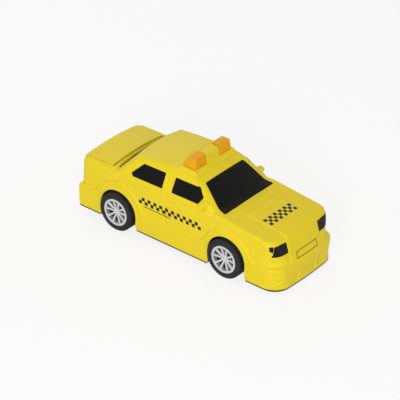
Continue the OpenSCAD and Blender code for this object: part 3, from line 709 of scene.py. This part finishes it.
def brushed(name, tone, roughness, stretch):
    """Metal with fine drawn lines along one axis."""
    material, nodes, links, shader = new_material(name)
    place = nodes.new("ShaderNodeTexCoord")
    squeeze = nodes.new("ShaderNodeMapping")
    squeeze.inputs["Scale"].default_value = stretch
    links.new(place.outputs["Object"], squeeze.inputs["Vector"])
    noise = nodes.new("ShaderNodeTexNoise")
    noise.inputs["Scale"].default_value = 300
    noise.inputs["Detail"].default_value = 5
    links.new(squeeze.outputs["Vector"], noise.inputs["Vector"])
    mix = nodes.new("ShaderNodeMix")
    mix.data_type = "RGBA"
    mix.inputs["A"].default_value = (*[c * 0.88 for c in tone], 1)
    mix.inputs["B"].default_value = (*[min(c * 1.1, 1) for c in tone], 1)
    links.new(noise.outputs["Fac"], mix.inputs["Factor"])
    links.new(mix.outputs["Result"], shader.inputs["Base Color"])
    rough = spread(nodes, links, noise.outputs["Fac"], roughness * 0.8, roughness * 1.3)
    links.new(rough, shader.inputs["Roughness"])
    relief = nodes.new("ShaderNodeBump")
    relief.inputs["Strength"].default_value = 0.08
    relief.inputs["Distance"].default_value = 0.0002
    links.new(noise.outputs["Fac"], relief.inputs["Height"])
    links.new(relief.outputs["Normal"], shader.inputs["Normal"])
    shader.inputs["Metallic"].default_value = 1.0
    return material


yellow_paint = plastic("yellow_abs", YELLOW, 0.3, vary=0.025, bump=0.01, specular=0.1)
window_black = plastic("window_black", BLACK, 0.36, vary=0.2, bump=0.02, specular=0.06)
lamp_black = plastic("lamp_black", BLACK, 0.24, vary=0.25, bump=0.03, specular=0.15)
ink_black = plastic("print_black", BLACK, 0.45, vary=0.3, grain=1600, bump=0.08, specular=0.2)
orange = lens_material()
rubber = plastic("tyre_rubber", RUBBER, 0.62, vary=0.25, grain=1300, bump=0.25, specular=0.25)
rim_silver = plastic("rim_silver", SILVER, 0.34, vary=0.06, grain=1500, bump=0.05, metallic=0.5)
# dark grey painted on the rims' pockets as their shade
rim_shadow = plastic("rim_shadow", SHADOW_GREY, 0.5, vary=0.2, grain=1500, bump=0.1)
dark_floor = plastic("chassis_charcoal", CHARCOAL, 0.55, vary=0.15, grain=1800, bump=0.3, specular=0.3)
slate = plastic("motor_slate", SLATE, 0.45, vary=0.1, grain=1500, bump=0.15)
nylon = plastic("gear_nylon", NYLON, 0.42, vary=0.05, grain=1100, bump=0.06)
turned_steel = brushed("turned_steel", STEEL, 0.28, (4, 0.2, 4))
screw_steel = brushed("screw_steel", STEEL, 0.32, (3, 3, 0.4))


# pieces

def finish_piece(piece, body, slot, material, *nodes):
    piece.data.materials.append(material)
    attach(piece, body)
    if nodes:
        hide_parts(*nodes)
    return piece


def mirrored_field(field):
    return lambda x, y, z: field(x, -y, z)


def build_body():
    reach = (HALF_L + 1.5, 48, 95)
    shell = mould("taxi_body", body_shell_field, (-reach[0], -reach[1], 3), reach, 0.5)
    finish_piece(shell, "car", "yellow_shell", yellow_paint, "body_shell")
    glass = mould("taxi_windows", window_insert_field, (-78, -43, 55), (55, 43, 83), 0.5)
    finish_piece(glass, "car", "black_windows", window_black, "window_insert")
    lid_box = ((-HALF_L - 1, -40, 44), (LID_FRONT_X + 1.5, 40, 65))
    lid = mould("taxi_boot_lid", boot_lid_field, *lid_box, 0.4)
    finish_piece(lid, "lid", "yellow_shell", yellow_paint, "boot_lid")


def build_pair(name, field, low, high, step, slot, material):
    """A left piece and its mirror image on the right."""
    for side, use in (("left", field), ("right", mirrored_field(field))):
        span = sorted((low[1], high[1])) if side == "left" else sorted((-low[1], -high[1]))
        box = ((low[0], span[0], low[2]), (high[0], span[1], high[2]))
        piece = mould(f"taxi_{name}_{side}", use, *box, step)
        finish_piece(piece, "car", slot, material, f"{name}_{side}")


def build_lamps():
    build_pair("light_lens", lens_field, (-8, 7, 74), (12, 28, 94), 0.3, "orange_lens", orange)
    build_pair("headlamp", headlamp_field, (94, 20, 34), (118, 44, 52), 0.3, "black_lamps", lamp_black)
    build_pair("tail_lamp", tail_lamp_field, (-118, 21, 32), (-108, 35, 46), 0.3, "black_lamps", lamp_black)
    plate = mould("taxi_plate", plate_field, (108, -17, 26), (118, 17, 37), 0.25)
    finish_piece(plate, "car", "plate", yellow_paint, "number_plate")
    border = mould("taxi_plate_border", plate_border_field, (108, -17, 26), (118, 17, 37), 0.16)
    finish_piece(border, "car", "black_lamps", ink_black)


def place_wheel(source, name, x, side):
    """Copy of a wheel piece on its axle, turned to face outwards."""
    piece = bpy.data.objects.new(name, source.data)
    bpy.context.scene.collection.objects.link(piece)
    piece.location = (x * MM, 0, AXLE_Z * MM)
    piece.rotation_euler = (0, 0, 0 if side > 0 else math.pi)
    return piece


def build_wheels():
    reach = TYRE_R + 1
    rim = mould("rim_mesh", rim_field, (-15, BOSS_IN - 1, -15), (15, TYRE_OUT + 1, 15), 0.32)
    tyre_box = ((-reach, TYRE_IN - 1, -reach), (reach, TYRE_OUT + 1, reach))
    tyre = mould("tyre_mesh", tyre_field, *tyre_box, 0.4)
    rim.data.materials.append(rim_silver)
    rim.data.materials.append(rim_shadow)
    tyre.data.materials.append(rubber)
    # faces deep in the rim (back disc and spoke roots) get the dark grey: painted shade in the wheel's
    # pockets
    for face in rim.data.polygons:
        deep = face.center.y / MM < TYRE_OUT - 5
        face.material_index = 1 if deep and face.center.y / MM > TYRE_IN + 0.5 else 0
    for end, x in (("front", FRONT_AXLE_X), ("rear", REAR_AXLE_X)):
        for hand, side in (("left", 1), ("right", -1)):
            for kind, source, slot in (("rim", rim, "silver_rims"), ("tyre", tyre, "tyres")):
                piece = place_wheel(source, f"taxi_{kind}_{end}_{hand}", x, side)
                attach(piece, f"{end}_wheels")
                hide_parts(f"{kind}_{end}_{hand}")
    bpy.data.objects.remove(rim)
    bpy.data.objects.remove(tyre)


# printed checks: thin slabs laid on the surface

CHECK = 3.4
CHECK_COLUMNS = 21
CHECK_START = (-43.2, 36.7)
CHECK_FALL = -0.022
BONNET_ROWS = 3
BONNET_COLUMNS = 11
BONNET_START_X = 79.4
PRINT_PROUD = 0.07
PRINT_SUNK = 0.12


def slab(points, faces, top, under):
    """Adds a thin closed slab between two equal grids of points."""
    rows, columns = top.shape[:2]
    base = len(points)
    count = rows * columns
    points.extend(top.reshape(-1, 3).tolist())
    points.extend(under.reshape(-1, 3).tolist())

    def at(i, j):
        return base + i * columns + j

    for i in range(rows - 1):
        for j in range(columns - 1):
            quad = [at(i, j), at(i, j + 1), at(i + 1, j + 1), at(i + 1, j)]
            faces.append(quad)
            faces.append([q + count for q in reversed(quad)])
    rim = [at(0, j) for j in range(columns)] + [at(i, columns - 1) for i in range(1, rows)]
    rim += [at(rows - 1, j) for j in range(columns - 2, -1, -1)] + [at(i, 0) for i in range(rows - 2, 0, -1)]
    for a, b in zip(rim, rim[1:] + rim[:1]):
        faces.append([b, a, a + count, b + count])


def side_print(points, faces, x0, x1, z0, z1, side):
    xs = np.linspace(x0, x1, 3)
    grid = []
    for x in xs:
        fall = (x - CHECK_START[0]) * CHECK_FALL
        grid.append([(x, side * PANEL_W, z + fall) for z in np.linspace(z0, z1, 3)])
    flat = np.array(grid)
    if side > 0:
        flat = flat[::-1]
    slab(points, faces, flat + (0, side * PRINT_PROUD, 0), flat - (0, side * PRINT_SUNK, 0))


def build_side_prints():
    for hand, side in (("left", 1), ("right", -1)):
        points, faces = [], []
        for column in range(CHECK_COLUMNS):
            x0 = CHECK_START[0] + column * CHECK
            z0 = CHECK_START[1] + CHECK * (column % 2)
            side_print(points, faces, x0, x0 + CHECK, z0, z0 + CHECK, side)
        side_print(points, faces, -37, -7, CHECK_START[1] - 2.3, CHECK_START[1] - 1.6, side)
        piece = mesh_object(f"taxi_checks_{hand}", points, faces)
        finish_piece(piece, "car", "black_windows", ink_black)


def build_bonnet_print():
    points, faces = [], []
    for row in range(BONNET_ROWS):
        for column in range(BONNET_COLUMNS):
            if (row + column) % 2:
                continue
            x0 = BONNET_START_X + row * CHECK
            y0 = (column - BONNET_COLUMNS / 2) * CHECK
            along = np.linspace(x0, x0 + CHECK, 4)
            across = np.linspace(y0, y0 + CHECK, 4)
            x, y = np.meshgrid(along, across, indexing="ij")
            flat = np.stack([x, y, body_top(x, np.abs(y))], axis=2)
            slab(points, faces, flat + (0, 0, PRINT_PROUD), flat - (0, 0, PRINT_SUNK))
    piece = mesh_object("taxi_checks_bonnet", points, faces)
    finish_piece(piece, "car", "black_windows", ink_black)


CAD_FINISHES = {
    "chassis": dark_floor,
    "boot_tray": dark_floor,
    "front_axle": turned_steel,
    "rear_axle": turned_steel,
    "idler_pin": turned_steel,
    "flywheel": turned_steel,
    "flywheel_pinion": nylon,
    "axle_gear": nylon,
    "idler_gear": nylon,
    "motor_case": slate,
    "motor_cover": slate,
    "body_screws": screw_steel,
    "tray_screws": screw_steel,
    "motor_screws": screw_steel,
    "case_screws": screw_steel,
}


def dress_cad():
    for node, material in CAD_FINISHES.items():
        mesh = frame["nodes"][node].data
        mesh.materials.clear()
        mesh.materials.append(material)


# stage

CAMERA_AT = (1.11527, -1.37503, 1.11386)
CAMERA_AIM = (-0.00812, 0.00235, 0.03223)
CAMERA_LENS = 207.6
SENSOR = 36.0
WORLD_LIGHT = 0.44
FLOOR_GLOW = 0.8
FLOOR_HALF = 6.0
LIGHT_REACH = 2.2


def seen_directly(nodes, links):
    """1 for rays from the camera, off metal or through glass, 0 for the light that falls on things."""
    path = nodes.new("ShaderNodeLightPath")
    seen = path.outputs["Is Camera Ray"]
    for kind in ("Is Glossy Ray", "Is Transmission Ray"):
        most = nodes.new("ShaderNodeMath")
        most.operation = "MAXIMUM"
        links.new(seen, most.inputs[0])
        links.new(path.outputs[kind], most.inputs[1])
        seen = most.outputs[0]
    return seen


def build_world():
    world = bpy.data.worlds.new("studio")
    bpy.context.scene.world = world
    world.use_nodes = True
    nodes = world.node_tree.nodes
    links = world.node_tree.links
    sky = nodes["Background"]
    sky.inputs["Color"].default_value = (1, 1, 1, 1)
    level = nodes.new("ShaderNodeMapRange")
    level.inputs["To Min"].default_value = WORLD_LIGHT
    level.inputs["To Max"].default_value = 1.0
    links.new(seen_directly(nodes, links), level.inputs["Value"])
    links.new(level.outputs["Result"], sky.inputs["Strength"])


def build_floor():
    size = FLOOR_HALF
    mesh = bpy.data.meshes.new("floor")
    corners = [(-size, -size, 0), (size, -size, 0), (size, size, 0), (-size, size, 0)]
    mesh.from_pydata(corners, [], [(0, 1, 2, 3)])
    floor = bpy.data.objects.new("floor", mesh)
    bpy.context.scene.collection.objects.link(floor)
    material, nodes, links, shader = new_material("floor_white")
    shader.inputs["Base Color"].default_value = (0.9, 0.9, 0.9, 1)
    shader.inputs["Roughness"].default_value = 0.8
    shader.inputs["Specular IOR Level"].default_value = 0.0
    glow = nodes.new("ShaderNodeEmission")
    glow.inputs["Strength"].default_value = 1.0
    share = nodes.new("ShaderNodeMath")
    share.operation = "MULTIPLY"
    share.inputs[1].default_value = FLOOR_GLOW
    links.new(seen_directly(nodes, links), share.inputs[0])
    blend = nodes.new("ShaderNodeMixShader")
    links.new(share.outputs[0], blend.inputs[0])
    links.new(shader.outputs[0], blend.inputs[1])
    links.new(glow.outputs[0], blend.inputs[2])
    links.new(blend.outputs[0], nodes["Material Output"].inputs["Surface"])
    floor.data.materials.append(material)


def add_light(name, azimuth, elevation, energy, size):
    """Square soft box that faces the car from a compass direction, 0 being the car's nose."""
    turn = math.radians(azimuth)
    rise = math.radians(elevation)
    away = Vector((math.cos(turn) * math.cos(rise), math.sin(turn) * math.cos(rise), math.sin(rise)))
    data = bpy.data.lights.new(name, "AREA")
    data.energy = energy
    data.size = size
    light = bpy.data.objects.new(name, data)
    light.location = away * LIGHT_REACH
    light.rotation_euler = (-away).to_track_quat("-Z", "Y").to_euler()
    bpy.context.scene.collection.objects.link(light)


def build_camera():
    data = bpy.data.cameras.new("photo_view")
    data.lens = CAMERA_LENS
    data.sensor_width = SENSOR
    data.clip_end = 50
    camera = bpy.data.objects.new("photo_view", data)
    camera.location = CAMERA_AT
    aim = Vector(CAMERA_AIM) - Vector(CAMERA_AT)
    camera.rotation_euler = aim.to_track_quat("-Z", "Y").to_euler()
    bpy.context.scene.collection.objects.link(camera)
    bpy.context.scene.camera = camera


bpy.context.scene.view_settings.view_transform = "Standard"
build_camera()
build_world()
build_floor()
add_light("key", azimuth=-59, elevation=32, energy=29.5, size=1.2)
add_light("fill", azimuth=150, elevation=40, energy=9, size=1.6)
build_body()
build_lamps()
build_wheels()
build_side_prints()
build_bonnet_print()
dress_cad()
